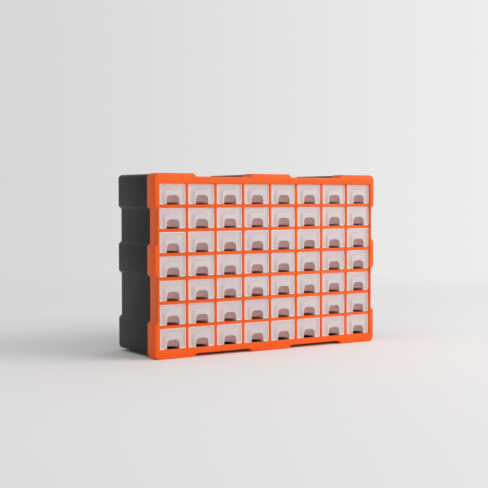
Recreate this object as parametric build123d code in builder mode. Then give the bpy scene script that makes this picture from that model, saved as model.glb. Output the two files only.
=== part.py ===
# Parts bin cabinet: a dark moulded housing, an orange front frame with a grid of shelves and
# partitions behind it, and eight columns by seven rows of small translucent drawers.
# Millimetres, +Z up, front towards -Y. The origin is under the middle of the cabinet, on the
# surface it stands on.
import math
import os

from build123d import *

# ---- cabinet ----
cabinet_width = 520.0
cabinet_height = 350.0
cabinet_depth = 165.0
columns = 8
rows = 7

# ---- steps of the outline: raised pads at the corners and at the middle of each side ----
step_depth = 6.0
corner_pad_length = 84.5
centre_pad_length = 88.0
top_side_pad_length = 63.0
bottom_side_pad_length = 66.0
middle_side_pad_length = 52.5
middle_side_pad_centre = 185.75

# ---- front frame ----
frame_depth = 31.0
frame_face_thickness = 8.6
frame_side_border = 10.2
frame_rail_height = 17.75
frame_corner_radius = 10.0
frame_edge_chamfer = 1.6
frame_opening_chamfer = 0.8
frame_fit_gap = 0.3

# ---- housing ----
housing_side_inset = 4.0
housing_top_inset = 1.5
housing_bottom_inset = 4.5
housing_corner_radius = 8.0
housing_rear_chamfer = 3.5
housing_wall = 2.2
back_wall = 2.4
seam_clearance = 0.2
runner_width = 2.0
runner_spread = 30.0
keyhole_column = 2
keyhole_lift = 20.0
keyhole_head = 10.0
keyhole_slot = 5.0
keyhole_rise = 9.0
rear_foot_diameter = 16.0
rear_foot_side_inset = 36.0
rear_foot_rear_inset = 22.0
rear_foot_taper = 12.0

# ---- grid of shelves and partitions ----
shelf_thickness = 4.0
partition_thickness = 4.4
shelf_lip_drop = 1.4
shelf_lip_thickness = 3.0
grid_recess = 2.0
grid_gap = 0.3

# ---- drawers ----
drawer_length = 140.0
drawer_recess = 5.6
front_side_gap = 0.5
front_top_gap = 0.4
running_gap = 0.3
front_thickness = 2.4
front_overhang = 2.2
tray_wall = 1.4
tray_drop = 3.4
stop_tab_width = 14.0
stop_tab_gap = 0.5
hood_side = 2.35
hood_top = 10.0
hood_proud = 3.6
hood_shoulder = 4.0
pull_width = 27.3
pull_height = 17.6
pull_depth = 15.0
pull_flats = 6
pull_shoulder = 5.0

# ---- worked out from the sizes above ----
front_y = -cabinet_depth / 2
rear_y = cabinet_depth / 2
middle_z = cabinet_height / 2
face_back_y = front_y + frame_face_thickness
grid_front_y = front_y + grid_recess
opening_width = cabinet_width - 2 * frame_side_border
opening_height = cabinet_height - 2 * frame_rail_height
opening_floor_z = frame_rail_height
column_pitch = (opening_width + partition_thickness) / columns
row_pitch = (opening_height + shelf_thickness) / rows
housing_front_y = face_back_y + frame_fit_gap
back_inner_y = rear_y - back_wall
wall_inner_x = cabinet_width / 2 - housing_side_inset - step_depth - housing_wall
wall_inner_top_z = cabinet_height - housing_top_inset - step_depth - housing_wall
wall_inner_floor_z = housing_bottom_inset + step_depth + housing_wall
cell_height = row_pitch - shelf_thickness
mouth_height = cell_height - shelf_lip_drop
front_width = column_pitch - partition_thickness - 2 * front_side_gap
front_height = mouth_height - running_gap - front_top_gap
tray_height = front_height - tray_drop
stop_tab_height = cell_height - running_gap - stop_tab_gap
tray_width = front_width - 2 * front_overhang
hood_width = pull_width + 2 * hood_side
hood_height = pull_height + hood_top
drawer_front_y = front_y + drawer_recess
drawer_rear_y = drawer_front_y + drawer_length


def column_x(column):
    """Middle of a column, counted from 1 at the left."""
    return (column - (columns + 1) / 2) * column_pitch


def row_floor_z(row):
    """Top of the shelf under a row, counted from 1 at the top."""
    return opening_floor_z + (rows - row) * row_pitch


def corner_arc(start, end, corner):
    """A rounded corner between two points, as a quarter turn about the far side of the corner."""
    if start[0] == corner[0]:
        centre = (end[0], start[1])
    else:
        centre = (start[0], end[1])
    middle = tuple(c + (k - c) * 2 ** -0.5 for c, k in zip(centre, corner))
    return ThreePointArc(start, middle, end)


def stepped_outline(side_inset, top_inset, bottom_inset, corner_radius, grow=0.0):
    """The closed outline seen from the front, raised at its pads and set back between them."""
    right = cabinet_width / 2 - side_inset + grow
    top = cabinet_height - top_inset + grow
    bottom = bottom_inset - grow
    step = step_depth
    pad_end = cabinet_width / 2 - corner_pad_length
    centre_end = centre_pad_length / 2
    top_pad_low = cabinet_height - top_side_pad_length
    bottom_pad_high = bottom_side_pad_length
    middle_high = middle_side_pad_centre + middle_side_pad_length / 2
    middle_low = middle_side_pad_centre - middle_side_pad_length / 2
    half_top = [
        (centre_end, top),
        (centre_end + step, top - step),
        (pad_end - step, top - step),
        (pad_end, top),
        (right - corner_radius, top),
    ]
    half_side = [
        (right, top - corner_radius),
        (right, top_pad_low),
        (right - step, top_pad_low - step),
        (right - step, middle_high + step),
        (right, middle_high),
        (right, middle_low),
        (right - step, middle_low - step),
        (right - step, bottom_pad_high + step),
        (right, bottom_pad_high),
        (right, bottom + corner_radius),
    ]
    half_bottom = [
        (right - corner_radius, bottom),
        (pad_end, bottom),
        (pad_end - step, bottom + step),
        (centre_end + step, bottom + step),
        (centre_end, bottom),
    ]
    runs = []
    for side in (1, -1):
        for run in (half_top, half_side, half_bottom):
            runs.append([(side * x, z) for x, z in run])
        Polyline(*runs[-3])
        corner_arc(runs[-3][-1], runs[-2][0], (side * right, top))
        Polyline(*runs[-2])
        corner_arc(runs[-2][-1], runs[-1][0], (side * right, bottom))
        Polyline(*runs[-1])
    Line(runs[0][0], runs[3][0])
    Line(runs[2][-1], runs[5][-1])


def front_plane(y):
    """A vertical plane seen from the front, with x to the right and y up."""
    return Plane(origin=(0, y, 0), x_dir=(1, 0, 0), z_dir=(0, -1, 0))


keyhole_z = row_floor_z(1) + keyhole_lift

os.makedirs("parts", exist_ok=True)

# ---- housing: one deep moulding, open at the front ----
# Its stepped sides run straight back to a bevelled rear edge. Runner ribs on the floor carry
# the bottom row of drawers, and two keyholes in the back hang the cabinet on screws. The moulding
# is cut at flush seams into its back, roof, floor and two sides, so that each wall is one solid.
with BuildPart() as housing_block:
    with BuildSketch(front_plane(rear_y)):
        with BuildLine():
            stepped_outline(
                housing_side_inset, housing_top_inset, housing_bottom_inset, housing_corner_radius
            )
        make_face()
    extrude(amount=rear_y - housing_front_y)
    chamfer(housing_block.edges().group_by(Axis.Y)[-1], housing_rear_chamfer)

with BuildPart() as runners:
    with BuildSketch(Plane.XY.offset(opening_floor_z)):
        for column in range(1, columns + 1):
            with Locations((column_x(column), (housing_front_y + rear_y) / 2)):
                with GridLocations(runner_spread, 0, 2, 1):
                    Rectangle(runner_width, rear_y - housing_front_y)
    extrude(amount=-opening_floor_z)
    add(housing_block.part, mode=Mode.INTERSECT)

with BuildPart() as housing:
    add(housing_block.part)
    with BuildSketch(front_plane(back_inner_y)):
        with BuildLine():
            stepped_outline(
                housing_side_inset,
                housing_top_inset,
                housing_bottom_inset,
                housing_corner_radius - housing_wall,
                grow=-housing_wall,
            )
        make_face()
    extrude(amount=back_inner_y - housing_front_y, mode=Mode.SUBTRACT)
    add(runners.part)
    with BuildSketch(front_plane(rear_y)):
        for side in (-1, 1):
            keyhole_x = side * column_x(keyhole_column)
            with Locations((keyhole_x, keyhole_z)):
                Circle(keyhole_head / 2)
            with Locations((keyhole_x, keyhole_z + keyhole_rise / 2)):
                Rectangle(keyhole_slot, keyhole_rise)
            with Locations((keyhole_x, keyhole_z + keyhole_rise)):
                Circle(keyhole_slot / 2)
    extrude(amount=back_wall, mode=Mode.SUBTRACT)
back_seam = Plane.ZX.offset(back_inner_y - seam_clearance)
roof_seam = Plane.XY.offset(wall_inner_top_z - seam_clearance)
floor_seam = Plane.YX.offset(-opening_floor_z - seam_clearance)
walls = []
rest = housing.part
for seam in (back_seam, roof_seam, floor_seam, Plane.YZ):
    walls.append(split(rest, bisect_by=seam, keep=Keep.TOP).solid())
    rest = split(rest, bisect_by=seam, keep=Keep.BOTTOM)
walls.append(rest.solid())
housing_walls = Compound(label="housing", children=walls)
export_step(housing_walls, "parts/housing.step")

# ---- rear feet: two soft discs stuck under the housing's rear corners ----
# They level the cabinet with the frame, which stands a little lower in front.
with BuildPart() as rear_feet:
    with BuildSketch(Plane.XY.offset(housing_bottom_inset)):
        for side in (-1, 1):
            foot_x = side * (cabinet_width / 2 - rear_foot_side_inset)
            with Locations((foot_x, rear_y - rear_foot_rear_inset)):
                Circle(rear_foot_diameter / 2)
    extrude(amount=-housing_bottom_inset, taper=rear_foot_taper)
rear_feet.part.label = "rear_feet"
export_step(rear_feet.part, "parts/rear_feet.step")

# ---- front frame: the orange bezel that caps the housing ----
# A face with one large opening, and a skirt behind it that takes in the housing's front edge.
with BuildPart() as front_frame:
    with BuildSketch(front_plane(front_y + frame_depth)):
        with BuildLine():
            stepped_outline(0, 0, 0, frame_corner_radius)
        make_face()
    extrude(amount=frame_depth)
    chamfer(front_frame.edges().group_by(Axis.Y)[0], frame_edge_chamfer)
    with BuildSketch(front_plane(front_y + frame_depth)):
        with BuildLine():
            stepped_outline(
                housing_side_inset,
                housing_top_inset,
                housing_bottom_inset,
                housing_corner_radius,
                grow=frame_fit_gap,
            )
        make_face()
    extrude(amount=frame_depth - frame_face_thickness, mode=Mode.SUBTRACT)
    with BuildSketch(front_plane(face_back_y)):
        with Locations((0, middle_z - shelf_lip_drop / 2)):
            Rectangle(opening_width, opening_height - shelf_lip_drop)
    extrude(amount=frame_face_thickness, mode=Mode.SUBTRACT)
    chamfer(front_frame.faces().sort_by(Axis.Y)[0].inner_wires()[0].edges(), frame_opening_chamfer)
front_frame.part.label = "front_frame"
export_step(front_frame.part, "parts/front_frame.step")

# ---- divider grid: shelves between the rows and partitions between the columns ----
# Each shelf is slotted from behind and each partition from the front, so they lap together. The
# front edge is a little wider, because the frame's opening is wider than the housing, and a
# shallow lip hangs under each shelf, which stops the tab on the back of the drawer below.
shelf_rear_y = back_inner_y - grid_gap
shelf_half_width = wall_inner_x - grid_gap
lap_y = (grid_front_y + shelf_rear_y) / 2
partition_low_z = wall_inner_floor_z + grid_gap
partition_high_z = wall_inner_top_z - grid_gap
partition_middle_z = (partition_low_z + partition_high_z) / 2
shelves = []
partitions = []
for row in range(1, rows):
    with BuildPart() as shelf:
        with BuildSketch(Plane.XY.offset(row_floor_z(row) - shelf_thickness)):
            with Locations((0, (face_back_y + shelf_rear_y) / 2)):
                Rectangle(2 * shelf_half_width, shelf_rear_y - face_back_y)
            with Locations((0, (grid_front_y + face_back_y) / 2)):
                Rectangle(opening_width, face_back_y - grid_front_y)
            for gap in range(1, columns):
                slot_x = column_x(gap) + column_pitch / 2
                with Locations((slot_x, (lap_y + shelf_rear_y) / 2)):
                    Rectangle(partition_thickness, shelf_rear_y - lap_y, mode=Mode.SUBTRACT)
        extrude(amount=shelf_thickness)
        with BuildSketch(Plane.XY.offset(row_floor_z(row) - shelf_thickness - shelf_lip_drop)):
            with Locations((0, grid_front_y + shelf_lip_thickness / 2)):
                Rectangle(opening_width, shelf_lip_thickness)
        extrude(amount=shelf_lip_drop)
    shelves.append(shelf.part.solid())
for gap in range(1, columns):
    partition_x = column_x(gap) + column_pitch / 2 - partition_thickness / 2
    with BuildPart() as partition:
        with BuildSketch(Plane.YZ.offset(partition_x)):
            with Locations(((face_back_y + shelf_rear_y) / 2, partition_middle_z)):
                Rectangle(shelf_rear_y - face_back_y, partition_high_z - partition_low_z)
            with Locations(((grid_front_y + face_back_y) / 2, middle_z - shelf_lip_drop / 2)):
                Rectangle(face_back_y - grid_front_y, opening_height - shelf_lip_drop)
            for row in range(1, rows):
                slot_z = row_floor_z(row) - shelf_thickness / 2
                lip_z = slot_z - shelf_lip_drop / 2
                with Locations(((grid_front_y + lap_y) / 2, slot_z)):
                    Rectangle(lap_y - grid_front_y, shelf_thickness, mode=Mode.SUBTRACT)
                with Locations((grid_front_y + shelf_lip_thickness / 2, lip_z)):
                    Rectangle(shelf_lip_thickness, shelf_thickness + shelf_lip_drop, mode=Mode.SUBTRACT)
        extrude(amount=partition_thickness)
    partitions.append(partition.part.solid())
divider_grid = Compound(label="divider_grid", children=shelves + partitions)
export_step(divider_grid, "parts/divider_grid.step")

# ---- drawer: a thin open tray with a wider front, made once and set in every cell ----
# The pull is an arched mouth low in the front. Behind it a bowed wall reaches into the tray and
# is open underneath, so a fingertip hooks in, and a raised hood stands round the mouth. The bow
# is a run of flats on half an ellipse.
def pull_bow(grow):
    """Lay out the bow behind the mouth as seen from above, or the outside of its wall."""
    half_width = pull_width / 2 + grow
    depth = pull_depth + grow
    turns = [math.pi * flat / pull_flats for flat in range(pull_flats + 1)]
    points = [(-half_width * math.cos(turn), depth * math.sin(turn)) for turn in turns]
    with BuildSketch(Plane.XY) as plan:
        with BuildLine():
            Polyline(*points, close=True)
        make_face()
    return plan.sketch


with BuildPart() as drawer:
    with BuildSketch(Plane.XY):
        with Locations((0, (front_thickness + drawer_length) / 2)):
            Rectangle(tray_width, drawer_length - front_thickness)
    extrude(amount=tray_height)
    with BuildSketch(front_plane(front_thickness)):
        with Locations((0, front_height / 2)):
            Rectangle(front_width, front_height)
    extrude(amount=front_thickness)
    with BuildSketch(Plane.XY.offset(tray_wall)):
        with Locations((0, (front_thickness + drawer_length - tray_wall) / 2)):
            Rectangle(tray_width - 2 * tray_wall, drawer_length - tray_wall - front_thickness)
    extrude(amount=tray_height - tray_wall, mode=Mode.SUBTRACT)
    with BuildSketch(front_plane(drawer_length)):
        with Locations((0, (tray_height + stop_tab_height) / 2)):
            Rectangle(stop_tab_width, stop_tab_height - tray_height)
    extrude(amount=tray_wall)
    extrude(pull_bow(tray_wall), amount=pull_height + tray_wall)
    with BuildSketch(front_plane(0)) as hood:
        with Locations((0, hood_height / 2)):
            Rectangle(hood_width, hood_height)
        chamfer(hood.vertices().group_by(Axis.Y)[-1], hood_shoulder)
    extrude(amount=hood_proud)
    with BuildSketch(front_plane(front_thickness)) as mouth:
        with Locations((0, pull_height / 2)):
            Rectangle(pull_width, pull_height)
        chamfer(mouth.vertices().group_by(Axis.Y)[-1], pull_shoulder)
    extrude(amount=front_thickness + hood_proud, mode=Mode.SUBTRACT)
    extrude(pull_bow(0), amount=pull_height, mode=Mode.SUBTRACT)

for row in range(1, rows + 1):
    for column in range(1, columns + 1):
        seat = Location((column_x(column), drawer_front_y, row_floor_z(row) + running_gap))
        placed = drawer.part.moved(seat)
        placed.label = f"drawer_r{row}_c{column}"
        export_step(placed, f"parts/{placed.label}.step")
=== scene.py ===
import math

import bpy
from mathutils import Matrix, Vector


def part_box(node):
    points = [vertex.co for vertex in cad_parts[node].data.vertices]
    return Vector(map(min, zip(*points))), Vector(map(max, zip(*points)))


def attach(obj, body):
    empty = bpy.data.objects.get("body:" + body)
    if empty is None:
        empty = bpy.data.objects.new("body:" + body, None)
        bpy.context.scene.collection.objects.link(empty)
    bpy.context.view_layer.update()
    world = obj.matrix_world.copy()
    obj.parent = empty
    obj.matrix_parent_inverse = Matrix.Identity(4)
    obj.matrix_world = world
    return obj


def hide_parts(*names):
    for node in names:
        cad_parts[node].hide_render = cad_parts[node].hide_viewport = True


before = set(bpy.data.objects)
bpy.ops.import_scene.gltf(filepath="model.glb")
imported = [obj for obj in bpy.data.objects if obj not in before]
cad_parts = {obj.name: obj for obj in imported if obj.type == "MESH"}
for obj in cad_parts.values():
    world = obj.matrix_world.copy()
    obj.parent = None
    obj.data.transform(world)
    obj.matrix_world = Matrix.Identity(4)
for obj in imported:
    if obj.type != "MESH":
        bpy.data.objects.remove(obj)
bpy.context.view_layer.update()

# ---- camera ----
# It stands in front, to the left of the cabinet and a little below its top, and looks slightly
# down. The place, the turn and the focal length were fitted to the photograph.
CAMERA_PLACE = (-1.2064, -1.8923, 0.3080)
CAMERA_TURN = 32.26
CAMERA_DROP = 2.54
FOCAL_LENGTH_PX = 1096.3
PHOTO_WIDTH_PX = 488

camera_data = bpy.data.cameras.new("camera")
camera_data.lens = camera_data.sensor_width * FOCAL_LENGTH_PX / PHOTO_WIDTH_PX
camera = bpy.data.objects.new("camera", camera_data)
bpy.context.scene.collection.objects.link(camera)
camera.location = CAMERA_PLACE
camera.rotation_euler = (math.radians(90 - CAMERA_DROP), 0, math.radians(-CAMERA_TURN))
bpy.context.scene.camera = camera
bpy.context.scene.view_settings.view_transform = "Standard"

# ---- studio ----
# A pale sweep: a wide floor that fades into the backdrop, paler to the right. One big soft lamp
# stands to the right in front, and the sky, darker to the left, fills the rest.
FLOOR_RADIUS = 40.0
FLOOR_COLOUR = (0.93, 0.925, 0.92, 1)
BACKDROP_GREYS = ((0.0, 0.46), (0.32, 0.64), (0.36, 0.675), (0.65, 0.85))
FADE_START = 0.7
FADE_END = 2.2
FILL_LIGHT = 0.84
KEY_LAMP_PLACE = (2.1, -1.9, 1.7)
KEY_LAMP_TARGET = (0, 0, 0.15)
KEY_LAMP_SIZE = 2.4
KEY_LAMP_POWER = 52


def link(tree, output, target):
    """Joins a node's output to another's input."""
    tree.links.new(output, target)


def node(tree, kind, **settings):
    """Adds a shader node and sets its properties."""
    made = tree.nodes.new(kind)
    for name, value in settings.items():
        setattr(made, name, value)
    return made


def backdrop_colour(tree, across):
    """The backdrop's colour, from left to right across the view."""
    ramp = node(tree, "ShaderNodeValToRGB")
    ramp.color_ramp.interpolation = "EASE"
    stops = ramp.color_ramp.elements
    while len(stops) < len(BACKDROP_GREYS):
        stops.new(0.5)
    for stop, (position, grey) in zip(stops, BACKDROP_GREYS):
        stop.position = position
        stop.color = (grey, grey, grey, 1)
    link(tree, across, ramp.inputs["Fac"])
    return ramp.outputs["Color"]


def across_view(tree, vector):
    """How far a direction or place lies to the right of the camera's line, from 0 to 1."""
    turn = math.radians(CAMERA_TURN)
    dot = node(tree, "ShaderNodeVectorMath", operation="DOT_PRODUCT")
    dot.inputs[1].default_value = (math.cos(turn), -math.sin(turn), 0)
    link(tree, vector, dot.inputs[0])
    spread = node(tree, "ShaderNodeMapRange")
    spread.inputs["From Min"].default_value = -1
    spread.inputs["From Max"].default_value = 1
    link(tree, dot.outputs["Value"], spread.inputs["Value"])
    return spread.outputs["Result"]


def seen_directly(tree):
    """1 for rays that show the backdrop as it is: camera, glossy and transmission rays."""
    path = node(tree, "ShaderNodeLightPath")
    first = node(tree, "ShaderNodeMath", operation="ADD")
    link(tree, path.outputs["Is Camera Ray"], first.inputs[0])
    link(tree, path.outputs["Is Glossy Ray"], first.inputs[1])
    second = node(tree, "ShaderNodeMath", operation="ADD", use_clamp=True)
    link(tree, first.outputs["Value"], second.inputs[0])
    link(tree, path.outputs["Is Transmission Ray"], second.inputs[1])
    return second.outputs["Value"]


world = bpy.data.worlds.new("studio")
bpy.context.scene.world = world
world.use_nodes = True
sky = world.node_tree
sky.nodes.clear()
sky_place = node(sky, "ShaderNodeTexCoord")
sky_seen = node(sky, "ShaderNodeBackground")
sky_colour = backdrop_colour(sky, across_view(sky, sky_place.outputs["Generated"]))
link(sky, sky_colour, sky_seen.inputs["Color"])
sky_light = node(sky, "ShaderNodeBackground")
link(sky, sky_colour, sky_light.inputs["Color"])
sky_light.inputs["Strength"].default_value = FILL_LIGHT
sky_mix = node(sky, "ShaderNodeMixShader")
link(sky, seen_directly(sky), sky_mix.inputs["Fac"])
link(sky, sky_light.outputs["Background"], sky_mix.inputs[1])
link(sky, sky_seen.outputs["Background"], sky_mix.inputs[2])
link(sky, sky_mix.outputs["Shader"], node(sky, "ShaderNodeOutputWorld").inputs["Surface"])

bpy.ops.object.select_all(action="DESELECT")
bpy.ops.mesh.primitive_circle_add(vertices=96, radius=FLOOR_RADIUS, fill_type="NGON")
floor = bpy.context.object
floor.name = "floor"
floor_material = bpy.data.materials.new("floor")
floor_material.use_nodes = True
tree = floor_material.node_tree
tree.nodes.clear()
place = node(tree, "ShaderNodeTexCoord")
reach = node(tree, "ShaderNodeVectorMath", operation="LENGTH")
link(tree, place.outputs["Object"], reach.inputs[0])
fade = node(tree, "ShaderNodeMapRange", interpolation_type="SMOOTHSTEP")
fade.inputs["From Min"].default_value = FADE_START
fade.inputs["From Max"].default_value = FADE_END
link(tree, reach.outputs["Value"], fade.inputs["Value"])
fade_seen = node(tree, "ShaderNodeMath", operation="MULTIPLY")
link(tree, fade.outputs["Result"], fade_seen.inputs[0])
link(tree, seen_directly(tree), fade_seen.inputs[1])
floor_diffuse = node(tree, "ShaderNodeBsdfDiffuse")
floor_diffuse.inputs["Color"].default_value = FLOOR_COLOUR
floor_far = node(tree, "ShaderNodeEmission")
# the direction from the camera's foot to a place on the floor meets the backdrop's own gradient
from_camera = node(tree, "ShaderNodeVectorMath", operation="SUBTRACT")
from_camera.inputs[1].default_value = (CAMERA_PLACE[0], CAMERA_PLACE[1], 0)
link(tree, place.outputs["Object"], from_camera.inputs[0])
direction = node(tree, "ShaderNodeVectorMath", operation="NORMALIZE")
link(tree, from_camera.outputs["Vector"], direction.inputs[0])
far_colour = backdrop_colour(tree, across_view(tree, direction.outputs["Vector"]))
link(tree, far_colour, floor_far.inputs["Color"])
floor_mix = node(tree, "ShaderNodeMixShader")
link(tree, fade_seen.outputs["Value"], floor_mix.inputs["Fac"])
link(tree, floor_diffuse.outputs["BSDF"], floor_mix.inputs[1])
link(tree, floor_far.outputs["Emission"], floor_mix.inputs[2])
link(tree, floor_mix.outputs["Shader"], node(tree, "ShaderNodeOutputMaterial").inputs["Surface"])
floor.data.materials.append(floor_material)

lamp_data = bpy.data.lights.new("key_lamp", "AREA")
lamp_data.shape = "SQUARE"
lamp_data.size = KEY_LAMP_SIZE
lamp_data.energy = KEY_LAMP_POWER
lamp = bpy.data.objects.new("key_lamp", lamp_data)
bpy.context.scene.collection.objects.link(lamp)
lamp.location = KEY_LAMP_PLACE
lamp_aim = Vector(KEY_LAMP_TARGET) - Vector(KEY_LAMP_PLACE)
lamp.rotation_euler = lamp_aim.to_track_quat("-Z", "Y").to_euler()

# ---- housing ----
# One deep black moulding with a fine spark-eroded grain, open in front. Its raised bands run
# straight back and its rear edges are rounded over. It has ribs on its floor, which carry the
# bottom drawers, and two keyholes in its back.
housing_low, housing_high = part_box("housing")
frame_low, frame_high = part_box("front_frame")
HALF_WIDTH = frame_high[0]
TOP_Z = frame_high[2]
REAR_Y = housing_high[1]
STEP = 0.006
CORNER_PAD = 0.0845
HALF_CENTRE_PAD = 0.044
TOP_PAD_LOW = TOP_Z - 0.063
MIDDLE_PAD = (0.1595, 0.212)
BOTTOM_PAD_HIGH = 0.066
WALL = 0.0022
BACK_WALL = 0.0024
HOUSING_BOTTOM = 0.0045
HOUSING_CORNER = 0.008
HOUSING_REAR_ROUND = 0.0045
MOULDED_EDGE = 0.0009
COLUMNS = 8
COLUMN_PITCH = 0.063
OPENING_FLOOR = 0.01775
RIB_SPREAD = 0.015
RIB_WIDTH = 0.002
KEYHOLE_X = 0.1575
KEYHOLE_Z = 0.31075
KEYHOLE_RISE = 0.009
KEYHOLE_HEAD = 0.005
KEYHOLE_SLOT = 0.0025
BLACK = (0.0055, 0.0055, 0.0052)
# places closer than this are one place; a cutter runs this far past what it cuts; and pieces that
# are joined reach this far into each other
NEAR = 1e-5
PAST = 0.01
OVERLAP = 0.001


def column_x(column):
    """Middle of a column, counted from 1 at the left."""
    return (column - (COLUMNS + 1) / 2) * COLUMN_PITCH


def add_box(name, low, high):
    """A box between two corners, as a mesh whose object sits at the origin."""
    bpy.ops.object.select_all(action="DESELECT")
    centre = [(a + b) / 2 for a, b in zip(low, high)]
    bpy.ops.mesh.primitive_cube_add(size=1, location=centre)
    box = bpy.context.object
    box.name = name
    box.scale = [b - a for a, b in zip(low, high)]
    bpy.ops.object.transform_apply(location=True, rotation=True, scale=True)
    return box


def edit_select(piece, kind, chosen):
    """Enters edit mode with only those vertices, edges or faces selected that a test picks."""
    bpy.context.view_layer.objects.active = piece
    bpy.ops.object.mode_set(mode="EDIT")
    bpy.ops.mesh.select_mode(type=kind)
    bpy.ops.mesh.select_all(action="DESELECT")
    bpy.ops.object.mode_set(mode="OBJECT")
    parts = {"VERT": piece.data.vertices, "EDGE": piece.data.edges, "FACE": piece.data.polygons}[kind]
    for part in parts:
        part.select = chosen(part)
    bpy.ops.object.mode_set(mode="EDIT")


def object_mode():
    """Leaves edit mode."""
    bpy.ops.object.mode_set(mode="OBJECT")


def cut_across(piece, place, normal):
    """Cuts new edges all round a piece along a plane."""
    bpy.context.view_layer.objects.active = piece
    bpy.ops.object.mode_set(mode="EDIT")
    bpy.ops.mesh.select_all(action="SELECT")
    bpy.ops.mesh.bisect(plane_co=place, plane_no=normal)
    object_mode()


def set_back(piece, inside, move):
    """Moves the vertices that a test picks."""
    for vertex in piece.data.vertices:
        if inside(vertex.co):
            vertex.co += Vector(move)


def stepped_block(name, right, bottom, top, front, rear, corner):
    """The cabinet's stepped outline as a block: a box cut at each step and set back between."""
    block = add_box(name, (-right, front, bottom), (right, rear, top))
    pad_end = HALF_WIDTH - CORNER_PAD
    for x in (HALF_CENTRE_PAD, HALF_CENTRE_PAD + STEP, pad_end - STEP, pad_end):
        for side in (-1, 1):
            cut_across(block, (side * x, 0, 0), (1, 0, 0))
    low, high = MIDDLE_PAD
    for z in (BOTTOM_PAD_HIGH, BOTTOM_PAD_HIGH + STEP, low - STEP, low, high, high + STEP,
              TOP_PAD_LOW - STEP, TOP_PAD_LOW):
        cut_across(block, (0, 0, z), (0, 0, 1))

    def between_pads_across(x):
        return HALF_CENTRE_PAD + STEP - NEAR <= abs(x) <= pad_end - STEP + NEAR

    def between_pads_up(z):
        return (BOTTOM_PAD_HIGH + STEP - NEAR <= z <= low - STEP + NEAR
                or high + STEP - NEAR <= z <= TOP_PAD_LOW - STEP + NEAR)

    set_back(block, lambda co: abs(co.z - top) < NEAR and between_pads_across(co.x), (0, 0, -STEP))
    set_back(block, lambda co: abs(co.z - bottom) < NEAR and between_pads_across(co.x), (0, 0, STEP))
    set_back(block, lambda co: abs(co.x - right) < NEAR and between_pads_up(co.z), (-STEP, 0, 0))
    set_back(block, lambda co: abs(co.x + right) < NEAR and between_pads_up(co.z), (STEP, 0, 0))

    def long_corner(edge):
        a, b = (block.data.vertices[v].co for v in edge.vertices)
        return (abs(abs(a.x) - right) < NEAR and abs(a.x - b.x) < NEAR
                and (abs(a.z - top) < NEAR or abs(a.z - bottom) < NEAR) and abs(a.z - b.z) < NEAR)

    edit_select(block, "EDGE", long_corner)
    bpy.ops.mesh.bevel(offset=corner, segments=5, affect="EDGES")
    bpy.ops.mesh.select_all(action="SELECT")
    bpy.ops.mesh.dissolve_limited(angle_limit=math.radians(0.5))
    object_mode()
    return block


def round_rim(block, y, radius):
    """Rounds over the outline at the front or the rear end of a stepped block."""
    edit_select(block, "EDGE", lambda edge: all(
        abs(block.data.vertices[v].co.y - y) < NEAR for v in edge.vertices))
    bpy.ops.mesh.bevel(offset=radius, segments=4, affect="EDGES")
    object_mode()


def soften(piece, width):
    """Rounds a piece's sharp edges, as a mould does, and shades it smooth between them."""
    bpy.ops.object.select_all(action="DESELECT")
    piece.select_set(True)
    bpy.context.view_layer.objects.active = piece
    bevel = piece.modifiers.new("soft_edges", "BEVEL")
    bevel.width = width
    bevel.segments = 2
    bevel.limit_method = "ANGLE"
    bevel.angle_limit = math.radians(30)
    bpy.ops.object.modifier_apply(modifier=bevel.name)
    bpy.ops.object.shade_smooth_by_angle(angle=math.radians(35))


def combine(piece, tool, operation):
    """Adds a tool to a piece, cuts it away or keeps what both share, then removes the tool."""
    bpy.ops.object.select_all(action="DESELECT")
    piece.select_set(True)
    bpy.context.view_layer.objects.active = piece
    join = piece.modifiers.new("shape", "BOOLEAN")
    join.operation = operation
    join.solver = "EXACT"
    join.object = tool
    bpy.ops.object.modifier_apply(modifier=join.name)
    bpy.data.objects.remove(tool, do_unlink=True)


def plastic(name, colour, roughness, grain_scale, grain_depth, mottle=0.06, alpha=1.0, shine=0.4):
    """Moulded plastic: one base colour with faint flow marks, a fine grain and uneven gloss."""
    material = bpy.data.materials.new(name)
    material.use_nodes = True
    tree = material.node_tree
    surface = tree.nodes["Principled BSDF"]
    place = node(tree, "ShaderNodeTexCoord")
    flow = node(tree, "ShaderNodeTexNoise")
    flow.inputs["Scale"].default_value = 14
    flow.inputs["Detail"].default_value = 4
    flow.inputs["Roughness"].default_value = 0.6
    link(tree, place.outputs["Object"], flow.inputs["Vector"])
    tone = node(tree, "ShaderNodeValToRGB")
    tone.color_ramp.elements[0].position = 0.3
    tone.color_ramp.elements[0].color = [c * (1 - mottle) for c in colour] + [1]
    tone.color_ramp.elements[1].position = 0.7
    tone.color_ramp.elements[1].color = [min(1, c * (1 + mottle)) for c in colour] + [1]
    link(tree, flow.outputs["Fac"], tone.inputs["Fac"])
    link(tree, tone.outputs["Color"], surface.inputs["Base Color"])
    gloss = node(tree, "ShaderNodeMapRange")
    gloss.inputs["To Min"].default_value = roughness - 0.05
    gloss.inputs["To Max"].default_value = roughness + 0.07
    link(tree, flow.outputs["Fac"], gloss.inputs["Value"])
    link(tree, gloss.outputs["Result"], surface.inputs["Roughness"])
    grain = node(tree, "ShaderNodeTexNoise")
    grain.inputs["Scale"].default_value = grain_scale
    grain.inputs["Detail"].default_value = 3
    link(tree, place.outputs["Object"], grain.inputs["Vector"])
    bump = node(tree, "ShaderNodeBump")
    bump.inputs["Strength"].default_value = 0.35
    bump.inputs["Distance"].default_value = grain_depth
    link(tree, grain.outputs["Fac"], bump.inputs["Height"])
    link(tree, bump.outputs["Normal"], surface.inputs["Normal"])
    surface.inputs["Alpha"].default_value = alpha
    surface.inputs["Specular IOR Level"].default_value = shine
    return material


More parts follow.
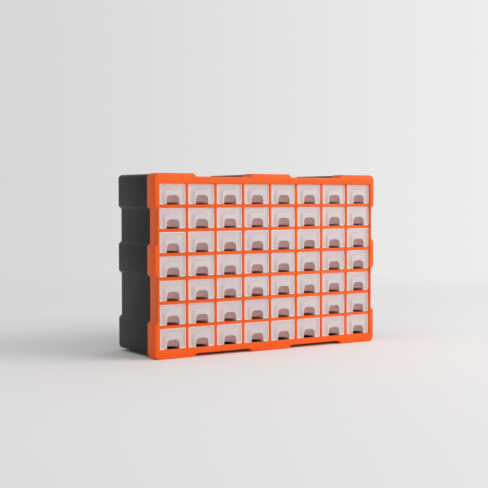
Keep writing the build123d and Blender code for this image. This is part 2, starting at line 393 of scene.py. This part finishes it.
def joined(name, pieces):
    """Several meshes as one."""
    bpy.ops.object.select_all(action="DESELECT")
    for piece in pieces:
        piece.select_set(True)
    bpy.context.view_layer.objects.active = pieces[0]
    bpy.ops.object.join()
    pieces[0].name = name
    return pieces[0]


def add_disc(name, radius, place, axis, depth, vertices=48):
    """A cylinder about a place, along the Y or the Z axis."""
    bpy.ops.object.select_all(action="DESELECT")
    turn = (math.radians(90), 0, 0) if axis == "Y" else (0, 0, 0)
    bpy.ops.mesh.primitive_cylinder_add(
        vertices=vertices, radius=radius, depth=depth, location=place, rotation=turn)
    bpy.ops.object.transform_apply(location=True, rotation=True, scale=True)
    bpy.context.object.name = name
    return bpy.context.object


housing_right = housing_high[0]
housing_top = housing_high[2]
housing_front = housing_low[1]
inner_rear = REAR_Y - BACK_WALL
housing = stepped_block("housing_shell", housing_right, HOUSING_BOTTOM, housing_top,
                        housing_front, REAR_Y, HOUSING_CORNER)
round_rim(housing, REAR_Y, HOUSING_REAR_ROUND)
combine(housing, stepped_block("inside", housing_right - WALL, HOUSING_BOTTOM + WALL,
                               housing_top - WALL, housing_front - PAST, inner_rear,
                               HOUSING_CORNER - WALL), "DIFFERENCE")
ribs = []
for column in range(1, COLUMNS + 1):
    for side in (-1, 1):
        rib_x = column_x(column) + side * RIB_SPREAD
        ribs.append(add_box("rib", (rib_x - RIB_WIDTH / 2, housing_front, 0),
                            (rib_x + RIB_WIDTH / 2, inner_rear + OVERLAP, OPENING_FLOOR)))
runners = joined("ribs", ribs)
combine(runners, stepped_block("floor_room", housing_right, HOUSING_BOTTOM + WALL / 2, housing_top,
                               housing_front, REAR_Y, HOUSING_CORNER), "INTERSECT")
combine(housing, runners, "UNION")
for side in (-1, 1):
    x = side * KEYHOLE_X
    combine(housing, add_disc("head", KEYHOLE_HEAD, (x, REAR_Y, KEYHOLE_Z), "Y", 2 * PAST),
            "DIFFERENCE")
    combine(housing, add_box("slot", (x - KEYHOLE_SLOT, REAR_Y - PAST, KEYHOLE_Z),
                             (x + KEYHOLE_SLOT, REAR_Y + PAST, KEYHOLE_Z + KEYHOLE_RISE)), "DIFFERENCE")
    combine(housing, add_disc("slot_end", KEYHOLE_SLOT, (x, REAR_Y, KEYHOLE_Z + KEYHOLE_RISE),
                              "Y", 2 * PAST), "DIFFERENCE")
soften(housing, MOULDED_EDGE)
housing.data.materials.append(plastic("black_plastic", BLACK, 0.42, 900, 0.0002, shine=0.35))
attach(housing, "cabinet")
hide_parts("housing")

# ---- rear feet ----
# Two soft black discs, stuck under the rear corners of the housing. They carry the back of the
# cabinet at the height of the frame's bottom pads.
FOOT_RADIUS = 0.008
FOOT_X = 0.224
FOOT_Y = 0.0605
FOOT_TAPER = 0.88
FOOT_EDGE = 0.0006
RUBBER = (0.018, 0.018, 0.018)

feet = []
for side in (-1, 1):
    foot = add_disc("foot", FOOT_RADIUS, (side * FOOT_X, FOOT_Y, HOUSING_BOTTOM / 2), "Z",
                    HOUSING_BOTTOM)
    edit_select(foot, "VERT", lambda vertex: vertex.co.z < NEAR)
    bpy.ops.transform.resize(value=(FOOT_TAPER, FOOT_TAPER, 1),
                             center_override=(side * FOOT_X, FOOT_Y, 0))
    object_mode()
    feet.append(foot)
rear_feet = joined("rear_foot_discs", feet)
soften(rear_feet, FOOT_EDGE)
rear_feet.data.materials.append(plastic("foot_rubber", RUBBER, 0.75, 1500, 0.0002))
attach(rear_feet, "cabinet")
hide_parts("rear_feet")

# ---- front frame ----
# The bright orange bezel: a flat stepped face with one large opening, and a skirt that goes back
# over the housing's front edge. The moulding is satin, with its outer edge rounded over.
FRONT_Y = frame_low[1]
FRAME_REAR_Y = frame_high[1]
FACE_BACK_Y = FRONT_Y + 0.0086
FIT_GAP = 0.0003
OPENING_HALF_WIDTH = 0.2498
OPENING_TOP = 0.33085
FRAME_CORNER = 0.010
FRAME_FRONT_ROUND = 0.0026
ORANGE = (0.96, 0.118, 0.003)

bezel = stepped_block("bezel", HALF_WIDTH, 0, TOP_Z, FRONT_Y, FRAME_REAR_Y, FRAME_CORNER)
round_rim(bezel, FRONT_Y, FRAME_FRONT_ROUND)
combine(bezel, stepped_block("pocket", housing_right + FIT_GAP, HOUSING_BOTTOM - FIT_GAP,
                             housing_top + FIT_GAP, FACE_BACK_Y, FRAME_REAR_Y + PAST,
                             HOUSING_CORNER), "DIFFERENCE")
combine(bezel, add_box("opening", (-OPENING_HALF_WIDTH, FRONT_Y - PAST, OPENING_FLOOR),
                       (OPENING_HALF_WIDTH, FACE_BACK_Y + OVERLAP, OPENING_TOP)), "DIFFERENCE")
soften(bezel, MOULDED_EDGE)
orange = plastic("orange_plastic", ORANGE, 0.42, 700, 0.0001, shine=0.26)
bezel.data.materials.append(orange)
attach(bezel, "cabinet")
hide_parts("front_frame")

# ---- divider grid ----
# Six shelves and seven partitions of the frame's orange plastic, half-lapped into each other.
# Only their front edges show while the drawers are in. Each shelf has a shallow lip under its
# front edge, which stops the drawers below.
ROWS = 7
ROW_PITCH = 0.0455
GRID_FRONT = FRONT_Y + 0.002
GRID_REAR = inner_rear - FIT_GAP
LAP_Y = (GRID_FRONT + GRID_REAR) / 2
SHELF = 0.004
SHELF_HALF_WIDTH = housing_right - STEP - WALL - FIT_GAP
LIP_DROP = 0.0014
LIP_DEPTH = 0.003
HALF_PARTITION = 0.0022
PARTITION_LOW = HOUSING_BOTTOM + STEP + WALL + FIT_GAP
PARTITION_HIGH = housing_top - STEP - WALL - FIT_GAP
PLATE_EDGE = 0.0004


def copy_at(original, name, offset):
    """A copy with a mesh of its own, moved by an offset."""
    mesh = original.data.copy()
    mesh.name = name
    mesh.transform(Matrix.Translation(offset))
    copy = bpy.data.objects.new(name, mesh)
    bpy.context.scene.collection.objects.link(copy)
    return copy


def row_floor(row):
    """Top of the shelf under a row, counted from 1 at the top."""
    return OPENING_FLOOR + (ROWS - row) * ROW_PITCH


def partition_x(gap):
    """Middle of the partition to the right of a column."""
    return column_x(gap) + COLUMN_PITCH / 2


shelf = add_box("shelf", (-SHELF_HALF_WIDTH, GRID_FRONT, -SHELF), (SHELF_HALF_WIDTH, GRID_REAR, 0))
combine(shelf, add_box("edge", (-OPENING_HALF_WIDTH, GRID_FRONT, -SHELF),
                       (OPENING_HALF_WIDTH, FACE_BACK_Y, 0)), "UNION")
combine(shelf, add_box("lip", (-OPENING_HALF_WIDTH, GRID_FRONT, -SHELF - LIP_DROP),
                       (OPENING_HALF_WIDTH, GRID_FRONT + LIP_DEPTH, -SHELF / 2)), "UNION")
slots = [add_box("slot", (partition_x(gap) - HALF_PARTITION, LAP_Y, -PAST),
                 (partition_x(gap) + HALF_PARTITION, GRID_REAR + PAST, PAST))
         for gap in range(1, COLUMNS)]
combine(shelf, joined("slots", slots), "DIFFERENCE")
soften(shelf, PLATE_EDGE)
partition = add_box("partition", (-HALF_PARTITION, FACE_BACK_Y, PARTITION_LOW),
                    (HALF_PARTITION, GRID_REAR, PARTITION_HIGH))
combine(partition, add_box("edge", (-HALF_PARTITION, GRID_FRONT, OPENING_FLOOR),
                           (HALF_PARTITION, FACE_BACK_Y + OVERLAP, OPENING_TOP)), "UNION")
slots = [add_box("slot", (-PAST, GRID_FRONT - PAST, row_floor(row) - SHELF),
                 (PAST, LAP_Y, row_floor(row))) for row in range(1, ROWS)]
lips = [add_box("lip", (-PAST, GRID_FRONT - PAST, row_floor(row) - SHELF - LIP_DROP),
                (PAST, GRID_FRONT + LIP_DEPTH, row_floor(row) - SHELF / 2)) for row in range(1, ROWS)]
combine(partition, joined("slots", slots), "DIFFERENCE")
combine(partition, joined("lips", lips), "DIFFERENCE")
soften(partition, PLATE_EDGE)
plates = [copy_at(shelf, "shelf_copy", (0, 0, row_floor(row))) for row in range(1, ROWS)]
plates += [copy_at(partition, "partition_copy", (partition_x(gap), 0, 0)) for gap in range(1, COLUMNS)]
bpy.data.objects.remove(shelf, do_unlink=True)
bpy.data.objects.remove(partition, do_unlink=True)
grid = joined("grid_plates", plates)
grid.data.materials.clear()
grid.data.materials.append(orange)
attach(grid, "cabinet")
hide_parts("divider_grid")

# ---- drawers ----
# Each is one thin frosted moulding: an open tray behind a slightly wider front. The finger pull
# is an arched mouth low in the front with a raised hood round it and a bowed wall behind it,
# open underneath. A tab on the rear wall catches the lip of the shelf above.
DRAWER_LENGTH = 0.140
DRAWER_FRONT_Y = FRONT_Y + 0.0056
RUNNING_GAP = 0.0003
PLATE_HALF_WIDTH = 0.0288
PLATE_HEIGHT = 0.0394
PLATE = 0.0024
TRAY_HALF_WIDTH = 0.0266
TRAY_HEIGHT = 0.036
TRAY_WALL = 0.0014
TAB_HALF_WIDTH = 0.007
TAB_TOP = 0.0407
HOOD_HALF_WIDTH = 0.016
HOOD_HEIGHT = 0.0276
HOOD_PROUD = 0.0036
RIM_PROUD = 0.0012
RIM_WIDTH = 0.0020
TOE_HEIGHT = 0.0031
TOE_HALF_WIDTH = 0.0155
TOE_DEPTH = 0.034
HOOD_FLARE = 0.0035
PULL_HALF_WIDTH = 0.01365
PULL_HEIGHT = 0.0176
PULL_DEPTH = 0.015
PULL_START = 0.0005
ON_OVAL = 1.02
HOOD_SHOULDER = 0.0065
MOUTH_SHOULDER = 0.0085
TRAY_CUT_TOP = 0.05
DRAWER_EDGE = 0.00025
FROSTED = (0.745, 0.672, 0.678)
# The rim's colour is a painted highlight: whiter and warmer than the frosted plastic, so its edges read
# as catching the light.
RIM_PAINTED_HIGHLIGHT = (0.95, 0.82, 0.79)
# The pull's colour is painted light: a pinker copy of the frosted plastic for the orange-tinted light
# seen through its bowed wall.
PULL_PAINTED_LIGHT = (0.87, 0.66, 0.63)
# The hood's left flank is painted lighter, to lift the shade that falls on it.
SLOPE_PAINTED_LIGHT = (0.77, 0.69, 0.70)


def shoulder(piece, radius, segments):
    """Rounds the two upper corners of a plate that faces the front."""
    high = max(vertex.co.z for vertex in piece.data.vertices)

    def upper_corner(edge):
        a, b = (piece.data.vertices[v].co for v in edge.vertices)
        return min(a.z, b.z) > high - NEAR and abs(a.x - b.x) < NEAR

    edit_select(piece, "EDGE", upper_corner)
    bpy.ops.mesh.bevel(offset=radius, segments=segments, affect="EDGES")
    object_mode()


def half_round(name, half_width, depth, low, high, front):
    """Half of an oval disc, cut along the drawer's front and bowed towards the rear."""
    oval = add_disc(name, 1, (0, 0, (low + high) / 2), "Z", high - low, vertices=56)
    edit_select(oval, "VERT", lambda vertex: True)
    bpy.ops.transform.resize(value=(half_width, depth, 1), center_override=(0, 0, 0))
    bpy.ops.mesh.bisect(plane_co=(0, front, 0), plane_no=(0, 1, 0), clear_inner=True, use_fill=True)
    object_mode()
    return oval


def paint_glow(material, colour, strength):
    """Paints light into a material as a weak glow; it stands in for light that thin frosted plastic
    lets through or catches at its edges.
    """
    surface = material.node_tree.nodes["Principled BSDF"]
    surface.inputs["Emission Color"].default_value = colour
    surface.inputs["Emission Strength"].default_value = strength


drawer = add_box("drawer", (-TRAY_HALF_WIDTH, PLATE / 2, 0),
                 (TRAY_HALF_WIDTH, DRAWER_LENGTH, TRAY_HEIGHT))
combine(drawer, add_box("plate", (-PLATE_HALF_WIDTH, 0, 0),
                        (PLATE_HALF_WIDTH, PLATE, PLATE_HEIGHT)), "UNION")
combine(drawer, add_box("tray", (TRAY_WALL - TRAY_HALF_WIDTH, PLATE, TRAY_WALL),
                        (TRAY_HALF_WIDTH - TRAY_WALL, DRAWER_LENGTH - TRAY_WALL, TRAY_CUT_TOP)),
        "DIFFERENCE")
combine(drawer, add_box("tab", (-TAB_HALF_WIDTH, DRAWER_LENGTH - TRAY_WALL, TRAY_HEIGHT / 2),
                        (TAB_HALF_WIDTH, DRAWER_LENGTH, TAB_TOP)), "UNION")
combine(drawer, half_round("bow", PULL_HALF_WIDTH + TRAY_WALL, PULL_DEPTH + TRAY_WALL, 0,
                           PULL_HEIGHT + TRAY_WALL, PULL_START), "UNION")
combine(drawer, half_round("toe_wall", TOE_HALF_WIDTH + TRAY_WALL, TOE_DEPTH + TRAY_WALL, 0,
                           TOE_HEIGHT + TRAY_WALL, PULL_START), "UNION")
rim = add_box("rim", (-PLATE_HALF_WIDTH, -RIM_PROUD, 0),
              (PLATE_HALF_WIDTH, PLATE / 2, PLATE_HEIGHT))
combine(rim, add_box("panel", (RIM_WIDTH - PLATE_HALF_WIDTH, -PAST, RIM_WIDTH),
                     (PLATE_HALF_WIDTH - RIM_WIDTH, PAST, PLATE_HEIGHT - RIM_WIDTH)), "DIFFERENCE")
combine(drawer, rim, "UNION")
hood = add_box("hood", (-HOOD_HALF_WIDTH, -HOOD_PROUD, 0), (HOOD_HALF_WIDTH, OVERLAP, HOOD_HEIGHT))
shoulder(hood, HOOD_SHOULDER, 6)
edit_select(hood, "VERT", lambda vertex: vertex.co.y > 0)
flare = (1 + HOOD_FLARE / HOOD_HALF_WIDTH, 1, 1 + HOOD_FLARE / HOOD_HEIGHT)
bpy.ops.transform.resize(value=flare, center_override=(0, 0, 0))
object_mode()
combine(drawer, hood, "UNION")
mouth = add_box("mouth", (-PULL_HALF_WIDTH, -PAST, -OVERLAP), (PULL_HALF_WIDTH, PLATE, PULL_HEIGHT))
shoulder(mouth, MOUTH_SHOULDER, 8)
combine(drawer, mouth, "DIFFERENCE")
combine(drawer, half_round("pull", PULL_HALF_WIDTH, PULL_DEPTH, -OVERLAP, PULL_HEIGHT,
                           PULL_START), "DIFFERENCE")
combine(drawer, half_round("toe", TOE_HALF_WIDTH, TOE_DEPTH, -OVERLAP, TOE_HEIGHT, PLATE),
        "DIFFERENCE")
soften(drawer, DRAWER_EDGE)
frosted = plastic("frosted_plastic", FROSTED, 0.36, 800, 0.00015, mottle=0.03, alpha=0.86)
# The raised rim is real; its whiter colour and its glow are a painted highlight.
rim_painted_highlight = plastic("rim_painted_highlight", RIM_PAINTED_HIGHLIGHT, 0.30, 800, 0.0001, mottle=0.02)
# The pull's bowed wall gets painted light: a pinker, lighter copy of the frosted plastic with a weak
# glow.
pull_painted_light = plastic("pull_painted_light", PULL_PAINTED_LIGHT, 0.42, 800, 0.00015, mottle=0.05, alpha=0.9)
# The hood's left flank gets painted light: a lighter copy of the frosted plastic with a glow, against
# its shade.
slope_painted_light = plastic("slope_painted_light", SLOPE_PAINTED_LIGHT, 0.36, 800, 0.00015, mottle=0.03, alpha=0.86)
paint_glow(rim_painted_highlight, (1.0, 0.66, 0.54, 1), 0.14)
paint_glow(pull_painted_light, (1.0, 0.82, 0.78, 1), 0.035)
paint_glow(slope_painted_light, (1.0, 0.92, 0.92, 1), 0.12)
for material in (frosted, rim_painted_highlight, pull_painted_light, slope_painted_light):
    drawer.data.materials.append(material)
# Faces take the painted copies: the rim a painted highlight, the pull's wall and the hood's left flank
# painted light.
for face in drawer.data.polygons:
    x, y, z = face.center
    on_rim_painted_highlight = -RIM_PROUD - NEAR < y < -RIM_PROUD / 3
    in_oval = (x / PULL_HALF_WIDTH) ** 2 + (y / PULL_DEPTH) ** 2 < ON_OVAL
    in_pull_painted_light = in_oval and z < PULL_HEIGHT + 10 * NEAR
    on_slope_painted_light = -HOOD_PROUD + NEAR < y < -NEAR and face.normal.x < -0.3 and x < -PULL_HALF_WIDTH
    face.material_index = 1 if on_rim_painted_highlight else 2 if in_pull_painted_light and y > PLATE / 2 else 3 if on_slope_painted_light else 0
for row in range(1, ROWS + 1):
    for column in range(1, COLUMNS + 1):
        body = f"drawer_r{row}_c{column}"
        place_in_row = (column_x(column), DRAWER_FRONT_Y, row_floor(row) + RUNNING_GAP)
        placed = copy_at(drawer, f"tray_r{row}_c{column}", place_in_row)
        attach(placed, body)
        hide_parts(body)
bpy.data.objects.remove(drawer, do_unlink=True)
